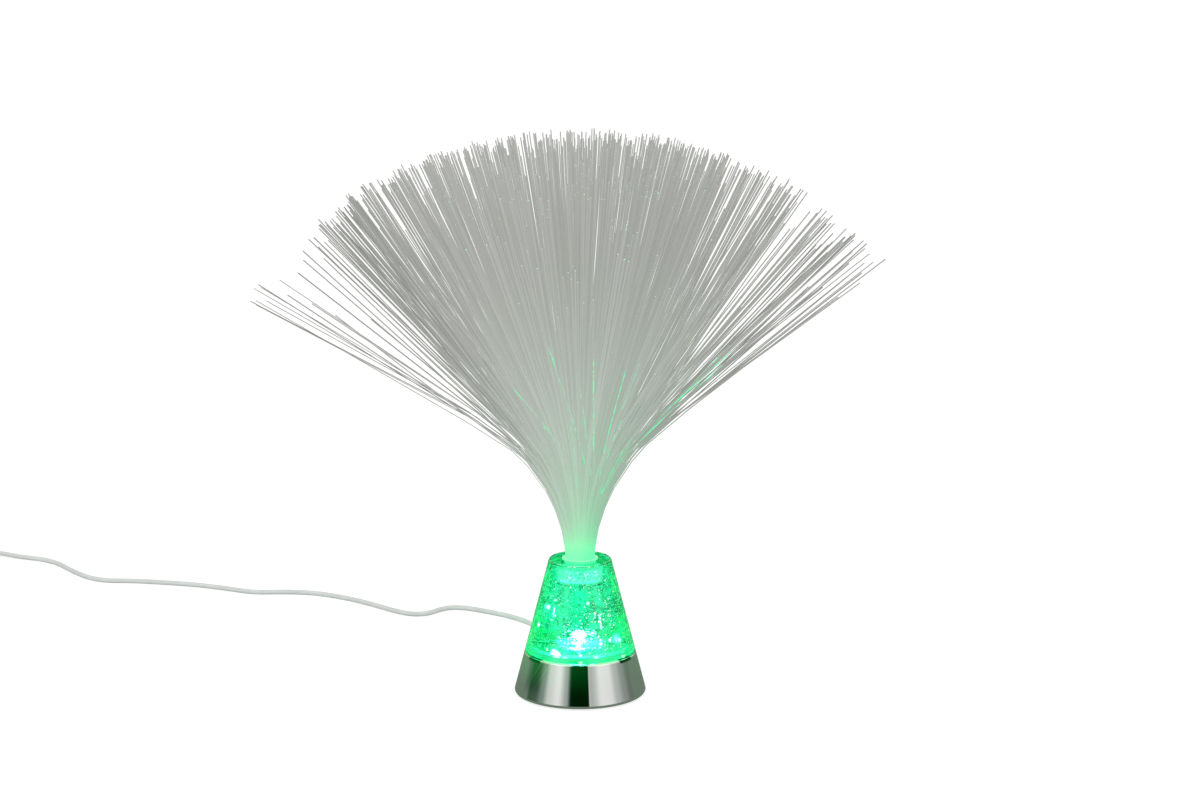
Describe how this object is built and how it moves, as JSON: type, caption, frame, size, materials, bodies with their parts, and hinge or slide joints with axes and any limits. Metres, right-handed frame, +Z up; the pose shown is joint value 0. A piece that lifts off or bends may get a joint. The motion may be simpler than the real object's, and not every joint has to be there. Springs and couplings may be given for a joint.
{
  "type": "fiber optic lamp",
  "caption": "Small table lamp: a chromed conical base under a clear vessel of glitter fluid, with a fountain-shaped spray of light guiding fibres and a light grey power cord.",
  "frame": {"origin": "centre of the pad's underside, on the table", "axes": "+Z up along the axis of the lamp, front towards -Y, the cord leaves at the back, +Y"},
  "size_m": [0.6251, 0.4734, 0.325],
  "materials": {
    "chrome_plate": "polished chrome plating",
    "black_plastic": "fine moulded texture",
    "screw_steel": "zinc plated",
    "pad_rubber": "foamed rubber",
    "bond_tape": "clear adhesive",
    "board_white": "white solder mask",
    "led_resin": "clear resin",
    "reflector_white": "glossy white",
    "component_black": "moulded epoxy",
    "capacitor_can": "sleeved can",
    "plunger_white": "acetal",
    "button_black": "satin black",
    "clear_acrylic": "clear, glossy",
    "seal_silicone": "translucent silicone",
    "glitter_fluid": "clear fluid with fine glitter, lit green",
    "ferrule_clear": "clear, glossy",
    "bonded_fiber": "polished end",
    "fiber_plastic": "translucent light guiding plastic",
    "cord_pvc": "light grey, semi-gloss",
    "tie_white": "soft plastic",
    "plug_pvc": "light grey overmould",
    "plug_metal": "plated",
    "tongue_white": "moulded",
    "lead_red": "insulated lead",
    "lead_black": "insulated lead"
  },
  "bodies": {
    "base": {"base_cover": "black_plastic", "base_pad": "pad_rubber", "base_shell": "chrome_plate", "board_screws": "screw_steel", "bond_ring": "bond_tape", "capacitor": "capacitor_can", "center_led": "led_resin", "clamp_screws": "screw_steel", "control_chip": "component_black", "cord_clamp": "black_plastic", "cord_coil": "cord_pvc", "cord_end": "cord_pvc", "cord_grommet": "cord_pvc", "cord_inner_end": "cord_pvc", "cord_ties": "tie_white", "cover_screws": "screw_steel", "fill_plug": "seal_silicone", "floor_seal": "seal_silicone", "glitter_fluid": "glitter_fluid", "lead_black": "lead_black", "lead_red": "lead_red", "led_board": "board_white", "led_reflector": "reflector_white", "light_guide": "clear_acrylic", "plug_relief": "plug_pvc", "power_cord": "cord_pvc", "resistors": "component_black", "side_leds": "led_resin", "switch_body": "component_black", "usb_plug_body": "plug_pvc", "usb_shell": "plug_metal", "usb_tongue": "tongue_white", "vessel": "clear_acrylic", "vessel_floor": "clear_acrylic"},
    "spray": {"ferrule": "ferrule_clear", "bonded_root": "bonded_fiber", "fiber_tuft_1": "fiber_plastic", "fiber_tuft_2": "fiber_plastic", "fiber_tuft_3": "fiber_plastic", "fiber_tuft_4": "fiber_plastic", "fiber_tuft_5": "fiber_plastic", "fiber_tuft_6": "fiber_plastic"},
    "button": {"power_button": "button_black", "switch_plunger": "plunger_white"}
  },
  "joints": [
    {"name": "spray_lift", "type": "slide", "parent": "base", "child": "spray", "axis": [0, 0, 1], "range_m": [0, 0.0135]},
    {"name": "power_press", "type": "slide", "parent": "base", "child": "button", "axis": [-0.3746, -0.9272, 0], "range_m": [0, 0.0015], "stiffness_N_per_m": 400}
  ]
}
